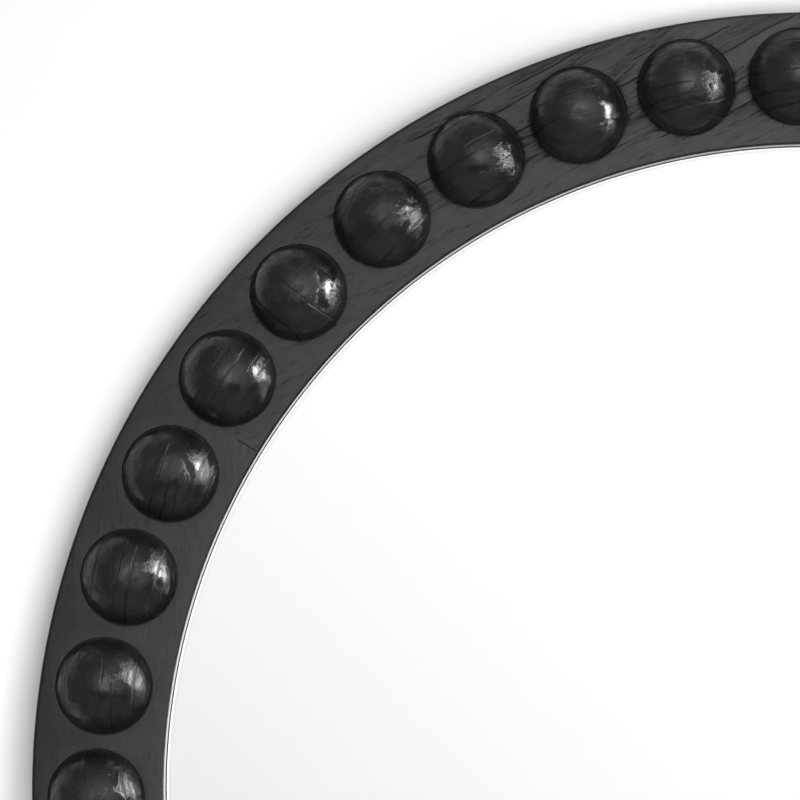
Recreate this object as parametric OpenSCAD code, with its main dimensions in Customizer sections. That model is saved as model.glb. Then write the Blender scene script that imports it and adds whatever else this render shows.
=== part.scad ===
// Round wall mirror in a studded frame of black-stained wood.
// The mirror hangs on a wall: it faces -Y, up is +Z, and the wall is the plane y = 0.
// The origin is the centre of the ring on the wall. Lengths are in millimetres and angles in degrees,
// counted from +X towards +Z, which is anticlockwise as the mirror is looked at.

/* [Frame ring] */
// Outer diameter of the frame ring
frame_d = 900; // [840:5:1000]
// Width of the ring's face, from its outer edge to its opening
face_w = 77; // [70:1:90]
// Thickness of the ring, from its face to its back
frame_t = 28; // [26:1:36]
// Thickness of the lip that stands in front of the glass
lip_t = 10; // [8:0.5:12]
// Width by which the lip reaches in over the glass rebate
lip_w = 11; // [8:0.5:12]
// Width of the ledge that the backing board is screwed to
ledge_w = 12; // [10:0.5:14]
// Rounding of the face's outer edge
outer_round = 2; // [0.5:0.1:4]
// Rounding of the face's edge at the opening
inner_round = 1.5; // [0.5:0.1:3]
// Rounding of the outer edge at the back
back_round = 1.5; // [0.5:0.1:3]
// Number of glued segments in the ring
segment_count = 6; // [4:1:6]
// Angle of the first glued joint
joint_angle = 28.6; // [20:0.1:35]

/* [Joint dowels] */
// Diameter of a dowel across a joint
dowel_d = 8; // [6:0.5:10]
// Length of a dowel
dowel_l = 35; // [30:1:60]
// Chamfer at each end of a dowel
dowel_chamfer = 1; // [0.5:0.1:1.5]

/* [Studs] */
// Number of studs round the ring
stud_count = 40; // [24:1:40]
// Diameter of a stud's half ball
stud_d = 56.4; // [44:0.2:60]
// Distance from the ring's outer edge to the line through the middles of the studs
stud_inset = 37.8; // [32:0.2:42]
// Angle of the first stud
stud_phase = 0.8; // [0:0.1:9]
// Depth of the round seat cut in the face for each stud
seat_t = 1.5; // [1:0.1:3]
// Gap round a stud in its seat
seat_gap = 0.4; // [0.2:0.1:1]
// Diameter of the spigot under a stud
spigot_d = 16; // [12:0.5:18]
// Length of the spigot under a stud
spigot_l = 12; // [8:0.5:14]
// Chamfer at the tip of a spigot
spigot_chamfer = 1; // [0.5:0.1:2]

/* [Glue joints] */
// Glue gap round a dowel or a spigot
glue_gap = 0.05; // [0.02:0.01:0.1]
// Space left for glue at the blind end of a hole
glue_end = 0.5; // [0.2:0.1:1]

/* [Mirror glass] */
// Thickness of the glass
glass_t = 6; // [4:0.5:8]
// Gap between the glass's rim and the wall of its rebate
glass_play = 2; // [1:0.5:3]
// Width of the ground arris on the glass's edges
glass_arris = 0.5; // [0.3:0.1:1]
// Thickness of the silver and paint coat
silver_t = 0.2; // [0.1:0.05:0.3]

/* [Glass packing] */
// Thickness of the foam cushion behind the glass
cushion_t = 2; // [1:0.5:3]
// Width of the foam cushion
cushion_w = 6; // [4:0.5:6.5]
// Length of a block at the glass's rim
block_l = 26; // [16:1:40]
// Gap between a block and what it stands between
block_gap = 0.05; // [0.02:0.01:0.1]
// Angle from upright to each block at the top and at the bottom
block_angle = 20; // [15:1:45]

/* [Backing board] */
// Thickness of the backing board
board_t = 6; // [4:0.5:7]
// Gap round the backing board
board_play = 1; // [0.5:0.5:2]
// Number of board screws in each segment of the ring
screws_per_segment = 2; // [1:1:3]

/* [Screws] */
// Shank diameter of a board screw
board_screw_d = 3; // [2.5:0.1:3.5]
// Head diameter of a board screw
board_screw_head_d = 6.6; // [5.6:0.1:7]
// Length of a board screw
board_screw_l = 14; // [11:0.5:16]
// Shank diameter of a hanger screw
hanger_screw_d = 4; // [3:0.1:4.5]
// Head diameter of a hanger screw
hanger_screw_head_d = 7.6; // [6.4:0.1:8]
// Head height of a hanger screw
hanger_screw_head_t = 2.2; // [1.6:0.1:2.8]
// Length of a hanger screw under its head
hanger_screw_l = 14; // [10:0.5:16]
// Length of a screw's pointed tip
screw_tip = 3; // [2:0.5:4]
// Diameter of a screw's blunt point
point_d = 0.5; // [0.3:0.1:1]
// Width of the cross slots in a screw's head
slot_w = 1; // [0.6:0.1:1.4]
// Depth of the cross slots in a screw's head
slot_t = 1.1; // [0.6:0.1:1.3]
// Gap round a screw in its hole
screw_gap = 0.05; // [0.02:0.01:0.1]

/* [Hangers] */
// Angle at which the right-hand hanger stands, with the left-hand one opposite
hanger_angle = 41.3; // [38:0.1:48]
// Width of a hanger strap
strap_w = 13; // [11:0.5:16]
// Thickness of a hanger strap
strap_t = 1.2; // [0.8:0.1:1.6]
// Distance from the ring's pivot to the first screw
first_hole = 9; // [8.5:0.5:12]
// Distance between a strap's two screws
hole_pitch = 18; // [15:0.5:22]
// Diameter of the D-ring's wire
wire_d = 3; // [2.4:0.1:3.6]
// Bend radius of the D-ring's corners, at the wire's middle
ring_bend = 3; // [2.5:0.1:4]
// Running clearance round the wire in its barrel
pivot_gap = 0.08; // [0.03:0.01:0.1]
// Side play of the strap between the D-ring's corners
side_play = 0.5; // [0.3:0.1:1]
// Room that the D-ring leaves beyond the head of the first screw
head_room = 1.7; // [1:0.1:4]
// Gap between the barrel and the frame's back
barrel_lift = 0.1; // [0.05:0.05:0.3]
// Gap between the frame's back and the D-ring that leans on it
lean_gap = 0.1; // [0.05:0.05:0.3]
// Gap that the bumpers keep between the barrels and the wall
wall_gap = 0.34; // [0.2:0.02:4]

/* [Wall bumpers] */
// Diameter of a bumper
bumper_d = 12; // [8:1:20]
// Chamfer round a bumper's wall face
bumper_chamfer = 1; // [0.5:0.1:2]
// Angle above and below the horizontal at which the four bumpers stand
bumper_angle = 58; // [56:1:66]

/* [Hidden] */
$fn = 64;
// Facets of a full turn on the large rings
ring_fn = 240;
// Overrun of a cut past the face it opens
cut = 1;

stained_wood = "#26211f";
stud_wood = "#1c1817";
dowel_wood = "#c8a878";
clear_glass = "#d5e6e2";
silver = "#e4e7ea";
foam = "#3a3a3c";
board_brown = "#8a6a4a";
zinc = "#b9bdc2";
black_rubber = "#202124";

// Levels above the wall, from the wall towards the room
wire_r = wire_d / 2;
barrel_r = wire_r + pivot_gap + strap_t;
bumper_t = barrel_lift + 2 * barrel_r + wall_gap;
back_z = bumper_t;
face_z = back_z + frame_t;
seat_z = face_z - lip_t;
silver_z = seat_z - glass_t;
cushion_z = silver_z - silver_t;
ledge_z = cushion_z - cushion_t;
board_z = ledge_z - board_t;
pivot_z = back_z - barrel_lift - barrel_r;

// Radii from the mirror's axis
frame_r = frame_d / 2;
opening_r = frame_r - face_w;
rebate_r = opening_r + lip_w;
ledge_r = rebate_r + ledge_w;
glass_r = rebate_r - glass_play;
board_r = ledge_r - board_play;
board_screw_r = (rebate_r + board_r) / 2;
pitch_r = frame_r - stud_inset;
land_r = (ledge_r + frame_r) / 2;

// Studs
stud_r = stud_d / 2;
spigot_r = spigot_d / 2;
stud_step = 360 / stud_count;
function stud_angle(k) = stud_phase + (k - 1) * stud_step;

// Ring joints and the dowels across them, one on each side of the spigots
segment_step = 360 / segment_count;
function joint_at(i) = joint_angle + (i - 1) * segment_step;
dowel_r = dowel_d / 2;
inner_dowel_r = (rebate_r + pitch_r - spigot_r) / 2;
outer_dowel_r = (frame_r + pitch_r + spigot_r) / 2;
dowel_z = (ledge_z + face_z) / 2;

// Studs whose seats reach segment i
seat_reach = asin((stud_r + seat_gap) / pitch_r);
function turn_to(a, b) = let (t = (b - a) % 360) t < 0 ? t + 360 : t;
function in_reach(i, k) =
    turn_to(joint_at(i) - seat_reach, stud_angle(k)) < segment_step + 2 * seat_reach;
function studs_near(i) = [for (k = [1:stud_count]) if (in_reach(i, k)) k];

// Board screws, evenly between the joints
board_screw_count = segment_count * screws_per_segment;
screw_step = 360 / board_screw_count;
function board_screw_angle(j) = joint_angle + (j - 0.5) * screw_step;
board_head_t = (board_screw_head_d - board_screw_d) / 2;

// Hangers, centred on the land of the ring's back
ring_r = strap_w / 2 + side_play + ring_bend;
ring_in_h = first_hole + hanger_screw_head_d / 2 + head_room;
ring_arc_y = ring_in_h + wire_r - ring_r;
ring_top = ring_in_h + wire_d;
ring_lean = asin((back_z - pivot_z - wire_r - lean_gap) / (ring_in_h + wire_r));
plate_l = first_hole + hole_pitch;
hanger_x = land_r * cos(hanger_angle);
hanger_y = land_r * sin(hanger_angle) + (plate_l + strap_w / 2 - ring_top) / 2;

function two_digits(n) = n < 10 ? str("0", n) : str(n);
function segment_name(i) = str("frame_segment_", i);
function stud_name(k) = str("stud_", two_digits(k));

// Stands up what is drawn lying on its back, so that the mirror faces -Y
module stand() {
    rotate([90, 0, 0])
        children();
}

// Puts its children at radius r and angle a, at height z above the wall
module around(a, r, z) {
    rotate([0, 0, a])
        translate([r, 0, z])
            children();
}

// What a rounding of radius r takes off an upper right corner, seen from the arc's centre
module corner_waste(r) {
    difference() {
        square(r + cut);
        circle(r = r);
    }
}

// Section of the ring: a rounded bar with a rebate for the glass and one for the board
module frame_section() {
    difference() {
        translate([opening_r, back_z])
            square([face_w, frame_t]);
        translate([opening_r - cut, back_z - cut])
            square([lip_w + cut, frame_t - lip_t + cut]);
        translate([opening_r - cut, back_z - cut])
            square([ledge_r - opening_r + cut, ledge_z - back_z + cut]);
        translate([frame_r - outer_round, face_z - outer_round])
            corner_waste(outer_round);
        translate([opening_r + inner_round, face_z - inner_round])
            mirror([1, 0])
                corner_waste(inner_round);
        translate([frame_r - back_round, back_z + back_round])
            mirror([0, 1])
                corner_waste(back_round);
    }
}

// Seat and blind hole for a stud, cut down from the face
module stud_socket(k) {
    around(stud_angle(k), pitch_r, face_z) {
        translate([0, 0, -seat_t])
            cylinder(r = stud_r + seat_gap, h = seat_t + cut);
        translate([0, 0, -seat_t - spigot_l - glue_end])
            cylinder(r = spigot_r + glue_gap, h = spigot_l + glue_end + cut);
    }
}

// Lays its children across a joint, at radius r from the mirror's axis
module across_joint(angle, r) {
    around(angle, r, dowel_z)
        rotate([90, 0, 0])
            children();
}

module frame_segment(i) {
    color(stained_wood)
        stand()
            difference() {
                rotate_extrude(angle = segment_step, start = joint_at(i), $fn = ring_fn)
                    frame_section();
                for (k = studs_near(i))
                    stud_socket(k);
                for (end = [i, i + 1], r = [inner_dowel_r, outer_dowel_r])
                    across_joint(joint_at(end), r)
                        cylinder(r = dowel_r + glue_gap, h = dowel_l + 2 * glue_end, center = true);
                for (j = [1:board_screw_count])
                    if (turn_to(joint_at(i), board_screw_angle(j)) < segment_step)
                        around(board_screw_angle(j), board_screw_r, board_z)
                            cylinder(d = board_screw_d + 2 * screw_gap, h = board_screw_l + screw_gap);
                for (side = [-1, 1])
                    hanger_screw_holes(side);
            }
}

// A dowel with chamfered ends, lying along Z about its middle
module dowel() {
    straight = dowel_l - 2 * dowel_chamfer;
    cylinder(r = dowel_r, h = straight, center = true);
    for (end = [0, 1])
        mirror([0, 0, end])
            translate([0, 0, straight / 2])
                cylinder(r1 = dowel_r, r2 = dowel_r - dowel_chamfer, h = dowel_chamfer);
}

module joint_dowels() {
    color(dowel_wood)
        stand()
            for (i = [1:segment_count], r = [inner_dowel_r, outer_dowel_r])
                across_joint(joint_at(i), r)
                    dowel();
}

// Half section of a stud: half ball, base in the seat and spigot
module stud_section() {
    intersection() {
        circle(r = stud_r);
        square(stud_d);
    }
    translate([0, -seat_t])
        square([stud_r, seat_t]);
    translate([0, -seat_t - spigot_l])
        polygon([
            [0, 0],
            [spigot_r - spigot_chamfer, 0],
            [spigot_r, spigot_chamfer],
            [spigot_r, spigot_l],
            [0, spigot_l]
        ]);
}

module stud(k) {
    color(stud_wood)
        stand()
            around(stud_angle(k), pitch_r, face_z)
                rotate_extrude()
                    stud_section();
}

module mirror_glass() {
    color(clear_glass)
        stand()
            rotate_extrude($fn = ring_fn)
                polygon([
                    [0, silver_z],
                    [glass_r - glass_arris, silver_z],
                    [glass_r, silver_z + glass_arris],
                    [glass_r, seat_z - glass_arris],
                    [glass_r - glass_arris, seat_z],
                    [0, seat_z]
                ]);
}

module silver_coat() {
    color(silver)
        stand()
            translate([0, 0, cushion_z])
                cylinder(r = glass_r - glass_arris, h = silver_t, $fn = ring_fn);
}

// Rubber blocks between the glass's rim and the wall of its rebate, above and below the glass
module glass_blocks() {
    span = 360 * block_l / (2 * PI * glass_r);
    color(black_rubber)
        stand()
            for (upright = [90, 270], side = [-1, 1])
                rotate_extrude(angle = span, start = upright + side * block_angle - span / 2, $fn = ring_fn)
                    translate([glass_r + block_gap, silver_z])
                        square([glass_play - 2 * block_gap, glass_t]);
}

module glass_cushion() {
    color(foam)
        stand()
            rotate_extrude($fn = ring_fn)
                translate([glass_r - glass_arris - cushion_w, ledge_z])
                    square([cushion_w, cushion_t]);
}

// Countersunk hole or head of a board screw, with gap g, opening at its origin towards the wall
module countersunk(g, l) {
    cylinder(d = board_screw_d + 2 * g, h = l);
    cylinder(d1 = board_screw_head_d + 2 * g, d2 = board_screw_d + 2 * g, h = board_head_t);
}

module backing_board() {
    color(board_brown)
        stand()
            difference() {
                translate([0, 0, board_z])
                    cylinder(r = board_r, h = board_t, $fn = ring_fn);
                for (j = [1:board_screw_count])
                    around(board_screw_angle(j), board_screw_r, board_z)
                        countersunk(screw_gap, board_t + cut);
            }
}

// Cross slots of a screw whose head is size wide
module cross_slots(size) {
    for (a = [0, 90])
        rotate([0, 0, a])
            translate([-size / 4, -slot_w / 2, -cut])
                cube([size / 2, slot_w, slot_t + cut]);
}

module board_screws() {
    color(zinc)
        stand()
            for (j = [1:board_screw_count])
                around(board_screw_angle(j), board_screw_r, board_z)
                    difference() {
                        union() {
                            countersunk(0, board_screw_l - screw_tip);
                            translate([0, 0, board_screw_l - screw_tip])
                                cylinder(d1 = board_screw_d, d2 = point_d, h = screw_tip);
                        }
                        cross_slots(board_screw_head_d);
                    }
}

// Puts its children at a hanger's pivot, over the wall; side is -1 on the left and 1 on the right
module at_hanger(side) {
    translate([side * hanger_x, hanger_y, 0])
        children();
}

// Holes for a hanger's two screws, from the strap's outer side into the frame's back
module hanger_screw_holes(side) {
    at_hanger(side)
        for (y = [first_hole, plate_l])
            translate([0, -y, back_z - strap_t])
                cylinder(d = hanger_screw_d + 2 * screw_gap, h = hanger_screw_l + screw_gap);
}

// A bar along X about the hanger's pivot
module pivot_bar(r, l) {
    translate([0, 0, pivot_z])
        rotate([0, 90, 0])
            cylinder(r = r, h = l, center = true);
}

module hanger_strap(side) {
    color(zinc)
        stand()
            difference() {
                at_hanger(side) {
                    difference() {
                        union() {
                            translate([-strap_w / 2, -plate_l, back_z - strap_t])
                                cube([strap_w, plate_l, strap_t]);
                            pivot_bar(barrel_r, strap_w);
                        }
                        pivot_bar(wire_r + pivot_gap, strap_w + 2 * cut);
                    }
                    translate([0, -plate_l, back_z - strap_t])
                        cylinder(d = strap_w, h = strap_t);
                }
                hanger_screw_holes(side);
            }
}

// Straight bar of the D-ring, along X through the origin, that turns in the barrel
module ring_bar() {
    rotate([0, 90, 0])
        cylinder(r = wire_r, h = 2 * (ring_r - ring_bend), center = true);
}

// Corner bend and leg of the D-ring at its right or left end
module ring_side(end) {
    translate([end * (ring_r - ring_bend), ring_bend, 0])
        rotate_extrude(angle = 90, start = end > 0 ? 270 : 180)
            translate([ring_bend, 0])
                circle(r = wire_r);
    translate([end * ring_r, ring_bend, 0])
        rotate([-90, 0, 0])
            cylinder(r = wire_r, h = ring_arc_y - ring_bend);
}

// The D-ring points up from its pivot and leans on the frame's back
module hanger_ring(side) {
    color(zinc)
        stand()
            at_hanger(side)
                translate([0, 0, pivot_z])
                    rotate([ring_lean, 0, 0]) {
                        ring_bar();
                        ring_side(-1);
                        ring_side(1);
                        translate([0, ring_arc_y, 0])
                            rotate_extrude(angle = 180, start = 0)
                                translate([ring_r, 0])
                                    circle(r = wire_r);
                    }
}

// A pan-head screw whose head lies below its origin, towards the wall
module hanger_screw() {
    head_r = hanger_screw_head_d / 2;
    crown = hanger_screw_head_t / 2;
    difference() {
        union() {
            translate([0, 0, -crown])
                cylinder(r = head_r, h = crown);
            translate([0, 0, -hanger_screw_head_t])
                cylinder(r1 = head_r - crown, r2 = head_r, h = crown);
            cylinder(d = hanger_screw_d, h = hanger_screw_l - screw_tip);
            translate([0, 0, hanger_screw_l - screw_tip])
                cylinder(d1 = hanger_screw_d, d2 = point_d, h = screw_tip);
        }
        translate([0, 0, -hanger_screw_head_t])
            cross_slots(hanger_screw_head_d);
    }
}

module hanger_screws() {
    color(zinc)
        stand()
            for (side = [-1, 1], y = [first_hole, plate_l])
                at_hanger(side)
                    translate([0, -y, back_z - strap_t])
                        hanger_screw();
}

module wall_bumpers() {
    color(black_rubber)
        stand()
            for (a = [bumper_angle, 180 - bumper_angle, 180 + bumper_angle, -bumper_angle])
                around(a, land_r, 0) {
                    cylinder(d1 = bumper_d - 2 * bumper_chamfer, d2 = bumper_d, h = bumper_chamfer);
                    translate([0, 0, bumper_chamfer])
                        cylinder(d = bumper_d, h = bumper_t - bumper_chamfer);
                }
}

for (i = [1:segment_count])
    frame_segment(i);
joint_dowels();
for (k = [1:stud_count])
    stud(k);
mirror_glass();
silver_coat();
glass_blocks();
glass_cushion();
backing_board();
board_screws();
hanger_strap(-1);  // left_hanger_strap
hanger_strap(1);  // right_hanger_strap
hanger_ring(-1);  // left_hanger_ring
hanger_ring(1);  // right_hanger_ring
hanger_screws();
wall_bumpers();
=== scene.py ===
import math
import random

import bmesh
import bpy
from mathutils import Matrix, Vector


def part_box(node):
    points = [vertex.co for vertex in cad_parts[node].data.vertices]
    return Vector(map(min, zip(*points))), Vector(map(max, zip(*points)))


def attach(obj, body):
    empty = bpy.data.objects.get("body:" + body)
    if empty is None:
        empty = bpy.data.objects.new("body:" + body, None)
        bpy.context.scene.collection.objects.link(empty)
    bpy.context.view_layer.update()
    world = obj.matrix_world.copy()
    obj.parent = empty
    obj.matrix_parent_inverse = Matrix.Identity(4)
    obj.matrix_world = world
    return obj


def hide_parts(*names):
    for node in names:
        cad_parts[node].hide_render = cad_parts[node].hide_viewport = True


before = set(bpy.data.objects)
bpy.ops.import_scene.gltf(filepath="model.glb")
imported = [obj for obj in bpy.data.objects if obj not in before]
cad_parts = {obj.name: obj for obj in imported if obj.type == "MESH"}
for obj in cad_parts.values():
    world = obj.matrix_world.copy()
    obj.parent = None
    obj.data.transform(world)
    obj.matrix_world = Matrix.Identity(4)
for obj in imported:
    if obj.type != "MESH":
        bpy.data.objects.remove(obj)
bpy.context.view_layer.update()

# The frame is a ring of six segments of black-stained oak. Each is sawn with the grain along its own
# middle, rebated behind the lip for the glass and the board, and glued to the next over two dowels.
# Forty round seats are bored in the face, each with a blind hole for the spigot of a stud.
segment_count = 6
segment_angle = math.radians(360 / segment_count)
first_joint = math.radians(28.6)
steps_a_segment = 60
face_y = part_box("frame_segment_1")[0].y
back_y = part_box("frame_segment_1")[1].y
lip_back_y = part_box("mirror_glass")[0].y
ledge_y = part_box("backing_board")[0].y
ring_radius = 0.450
opening_radius = 0.373
rebate_radius = 0.384
ledge_radius = 0.396
outer_round = 0.002
inner_round = 0.0015
back_round = 0.0015
near = 0.00002

stud_count = 40
stud_step = math.radians(360 / stud_count)
first_stud = math.radians(0.8)
stud_pitch_radius = 0.4122
seat_radius = 0.0282
seat_depth = 0.0015
seat_arris = 0.0003
stud_bore_radius = 0.00805
stud_bore_depth = 0.0125

dowel_radius = 0.004
dowel_length = 0.035
dowel_bore_radius = 0.00405
dowel_bore_length = 0.036
dowel_y = (face_y + ledge_y) / 2
dowel_pitch_radii = (0.3941, 0.4351)

screw_circle_radius = 0.3895
screw_count = 12
screw_step = math.radians(360 / screw_count)
screw_bore_radius = 0.00155
screw_bore_depth = 0.01405
board_back_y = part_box("backing_board")[1].y

pivot_x = 0.317785
pivot_y = -0.00312
pivot_z = 0.287181
hanger_screw_drops = (0.009, 0.027)
hanger_bore_radius = 0.00205
hanger_bore_depth = 0.01285


def deselect_all():
    bpy.ops.object.select_all(action="DESELECT")


def take(piece):
    """Selects one piece alone and makes it the active one."""
    deselect_all()
    piece.select_set(True)
    bpy.context.view_layer.objects.active = piece


def name_piece(name):
    """Names what was just added and puts its place, turn and size into its mesh."""
    piece = bpy.context.object
    bpy.ops.object.transform_apply(location=True, rotation=True, scale=True)
    piece.name = name
    piece.data.name = name
    return piece


def open_up(piece):
    """Starts to edit a piece with nothing selected."""
    take(piece)
    bpy.ops.object.mode_set(mode="EDIT")
    bpy.ops.mesh.select_all(action="DESELECT")


def close_up():
    bpy.ops.object.mode_set(mode="OBJECT")


def pick(kind, wanted):
    """Selects the vertices, edges or faces of the piece being edited whose middle passes a test."""
    bpy.ops.mesh.select_mode(type=kind)
    bpy.ops.mesh.select_all(action="DESELECT")
    mesh = bpy.context.object.data
    shape = bmesh.from_edit_mesh(mesh)
    if kind == "VERT":
        for corner in shape.verts:
            corner.select_set(wanted(corner.co))
    elif kind == "EDGE":
        for edge in shape.edges:
            edge.select_set(wanted((edge.verts[0].co + edge.verts[1].co) / 2))
    else:
        for face in shape.faces:
            face.select_set(wanted(face.calc_center_median()))
    shape.select_flush_mode()
    bmesh.update_edit_mesh(mesh)


def extrude(x, y, z):
    """Extrudes what is selected and leaves its new end selected."""
    bpy.ops.mesh.extrude_region_move(TRANSFORM_OT_translate={"value": (x, y, z)})


def select_whole():
    bpy.ops.mesh.select_all(action="SELECT")


def seal():
    """Merges the doubles of the piece being edited and turns its faces outwards."""
    select_whole()
    bpy.ops.mesh.remove_doubles(threshold=0.000001)
    bpy.ops.mesh.normals_make_consistent(inside=False)


def copy_piece(original, name, move):
    """A copy with its own mesh, moved in the mesh itself."""
    piece = original.copy()
    piece.data = original.data.copy()
    piece.data.transform(move)
    piece.name = name
    piece.data.name = name
    bpy.context.scene.collection.objects.link(piece)
    return piece


def throw_away(piece):
    bpy.data.objects.remove(piece)


def apply_all(piece):
    take(piece)
    for modifier in list(piece.modifiers):
        bpy.ops.object.modifier_apply(modifier=modifier.name)


def join_all(pieces, name):
    """Joins separate shells into one piece."""
    take(pieces[0])
    for piece in pieces:
        piece.select_set(True)
    bpy.ops.object.join()
    pieces[0].name = name
    pieces[0].data.name = name
    return pieces[0]


def bore_out(piece, cutters):
    """Cuts the shapes of all the cutters out of a piece, and throws the cutters away."""
    cutter = join_all(cutters, "cutter")
    bore = piece.modifiers.new("bore", "BOOLEAN")
    bore.operation = "DIFFERENCE"
    bore.solver = "EXACT"
    bore.object = cutter
    apply_all(piece)
    throw_away(cutter)


def smooth(piece, sharp_degrees):
    take(piece)
    bpy.ops.object.shade_smooth_by_angle(angle=math.radians(sharp_degrees))


def add_peg(name, radius, length, corners, place, turn=(0, 0, 0)):
    """A round peg to shape further: it lies along Z before its turn, and its middle is at the place."""
    deselect_all()
    bpy.ops.mesh.primitive_cylinder_add(
        vertices=corners, radius=radius, depth=length, location=place, rotation=turn
    )
    return name_piece(name)


def dress(piece, material, material_slot, body, *stands_for):
    """Gives a finished piece its material and its body, and hides the CAD nodes that it stands for."""
    piece.data.materials.clear()
    piece.data.materials.append(material)
    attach(piece, body)
    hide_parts(*stands_for)


def turn_in_face(angle):
    """A turn about the mirror's axis, anticlockwise as the mirror is looked at."""
    return Matrix.Rotation(-angle, 4, "Y")


def on_face(angle, radius):
    """The place on the wall plane at an angle and a radius about the mirror's axis."""
    return Vector((radius * math.cos(angle), 0, radius * math.sin(angle)))


def stud_angle(number):
    return first_stud + (number - 1) * stud_step


def lay_grain(piece, origin, along, across, deep, shift):
    """Stores each point's place in its board: along the fibres, across them, and in depth."""
    places = piece.data.attributes.new("grain", "FLOAT_VECTOR", "POINT")
    for corner in piece.data.vertices:
        p = corner.co - origin
        places.data[corner.index].vector = Vector((p.dot(along), p.dot(across), p.dot(deep))) + shift


def fill(node, inputs):
    """Sets a node's inputs, or links them to what they take."""
    for socket, value in inputs.items():
        if isinstance(value, bpy.types.NodeSocket):
            node.id_data.links.new(value, node.inputs[socket])
        else:
            node.inputs[socket].default_value = value


def add_node(tree, kind, inputs, **settings):
    node = tree.nodes.new(kind)
    for setting, value in settings.items():
        setattr(node, setting, value)
    fill(node, inputs)
    return node


def tree_of(*values):
    """The node tree that the linked ones among some values belong to."""
    return next(value.id_data for value in values if isinstance(value, bpy.types.NodeSocket))


def calculate(operation, first, second=0.0):
    inputs = {0: first, 1: second}
    return add_node(tree_of(first, second), "ShaderNodeMath", inputs, operation=operation).outputs[0]


def times(first, second):
    return calculate("MULTIPLY", first, second)


def plus(first, second):
    return calculate("ADD", first, second)


def minus(first, second):
    return calculate("SUBTRACT", first, second)


def larger(first, second):
    return calculate("MAXIMUM", first, second)


def vector_math(operation, first, second, output=0):
    inputs = {0: first, 1: second}
    node = add_node(tree_of(first, second), "ShaderNodeVectorMath", inputs, operation=operation)
    return node.outputs[output]


def length_of(vector):
    return vector_math("LENGTH", vector, (0, 0, 0), "Value")


def parts_of(vector):
    return add_node(tree_of(vector), "ShaderNodeSeparateXYZ", {0: vector}).outputs


def joined(x, y, z=0.0):
    return add_node(tree_of(x, y, z), "ShaderNodeCombineXYZ", {0: x, 1: y, 2: z}).outputs[0]


def spot_on_piece(tree):
    return add_node(tree, "ShaderNodeTexCoord", {}).outputs["Object"]


def stored(tree, name):
    """What each point of a piece has stored under a name: its vector and its value."""
    node = add_node(tree, "ShaderNodeAttribute", {}, attribute_name=name)
    return node.outputs["Vector"], node.outputs["Fac"]


def off_axis(spot):
    """How far a spot lies from the mirror's axis."""
    return length_of(vector_math("MULTIPLY", spot, (1.0, 0.0, 1.0)))


def cloud(place, size, detail):
    """Noise from 0 to 1 whose blots have about the given length, width and depth, or one size."""
    if isinstance(size, float):
        size = (size, size, size)
    scaled = vector_math("DIVIDE", place, size)
    inputs = {"Vector": scaled, "Scale": 1.0, "Detail": detail, "Roughness": 0.55}
    return add_node(tree_of(place), "ShaderNodeTexNoise", inputs).outputs["Fac"]


def fade(value, low, high, start=0.0, end=1.0):
    """Turns a value between low and high smoothly into start to end."""
    inputs = {"Value": value, "From Min": low, "From Max": high, "To Min": start, "To Max": end}
    node = add_node(tree_of(value), "ShaderNodeMapRange", inputs, interpolation_type="SMOOTHSTEP")
    return node.outputs["Result"]


def grey(tone):
    return (tone, tone, tone, 1)


def blend_colours(share, first, second):
    inputs = {0: share, 6: first, 7: second}
    return add_node(tree_of(share), "ShaderNodeMix", inputs, data_type="RGBA").outputs[2]


def bump(shader, height, depth):
    """Gives a shader relief: the height runs from 0 to 1 over the depth in metres."""
    inputs = {"Height": height, "Strength": 1.0, "Distance": depth}
    fill(shader, {"Normal": add_node(tree_of(height), "ShaderNodeBump", inputs).outputs["Normal"]})


def new_group(name, inputs, outputs):
    """A node group with its named inputs and outputs; returns it with its two end nodes."""
    group = bpy.data.node_groups.new(name, "ShaderNodeTree")
    for label, kind in inputs:
        group.interface.new_socket(label, in_out="INPUT", socket_type=kind)
    for label, kind in outputs:
        group.interface.new_socket(label, in_out="OUTPUT", socket_type=kind)
    return group, group.nodes.new("NodeGroupInput"), group.nodes.new("NodeGroupOutput")


def use_group(tree, group, **values):
    """Adds a node group and gives its outputs; the words of an input's name are joined by underscores."""
    inputs = {label.replace("_", " "): value for label, value in values.items()}
    return add_node(tree, "ShaderNodeGroup", inputs, node_tree=group).outputs


def new_material(name):
    """A material with only its Principled shader; returns both and the tree."""
    material = bpy.data.materials.new(name)
    material.use_nodes = True
    tree = material.node_tree
    return material, tree, tree.nodes["Principled BSDF"]


# Growth rings about a heart that lies behind the board, with open pores in each ring's first wood,
# fine streaks between them and a few drying cracks. Place is in metres: X along the fibres.
FLOAT = "NodeSocketFloat"
VECTOR = "NodeSocketVector"
tree, given, made = new_group(
    "open grain",
    [("Place", VECTOR), ("Ring width", FLOAT), ("Pore length", FLOAT), ("Pore width", FLOAT),
     ("Porosity", FLOAT), ("Crack spacing", FLOAT), ("Crack width", FLOAT), ("Crack share", FLOAT)],
    [("Pores", FLOAT), ("Cracks", FLOAT), ("First wood", FLOAT), ("Streaks", FLOAT), ("Fibres", FLOAT)],
)
open_grain = tree
fibre_sway = 0.008
crack_sway = 0.0022
ring_stretch = 0.03
fewest_pores = 0.78
place = given.outputs["Place"]
sway = times(minus(cloud(place, (0.11, 0.05, 0.05), 2.0), 0.5), fibre_sway)
place = vector_math("ADD", place, joined(0.0, sway, sway))
from_heart = length_of(vector_math("MULTIPLY", place, (ring_stretch, 1.0, 1.0)))
rings = calculate("DIVIDE", from_heart, given.outputs["Ring width"])
ring_phase = calculate("FRACT", rings)
first_wood = times(fade(ring_phase, 0.0, 0.06), fade(ring_phase, 0.25, 0.60, 1.0, 0.0))
pore_width = given.outputs["Pore width"]
pore_field = cloud(place, joined(given.outputs["Pore length"], pore_width, pore_width), 1.0)
more_pores = plus(times(first_wood, 0.10), given.outputs["Porosity"])
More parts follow.
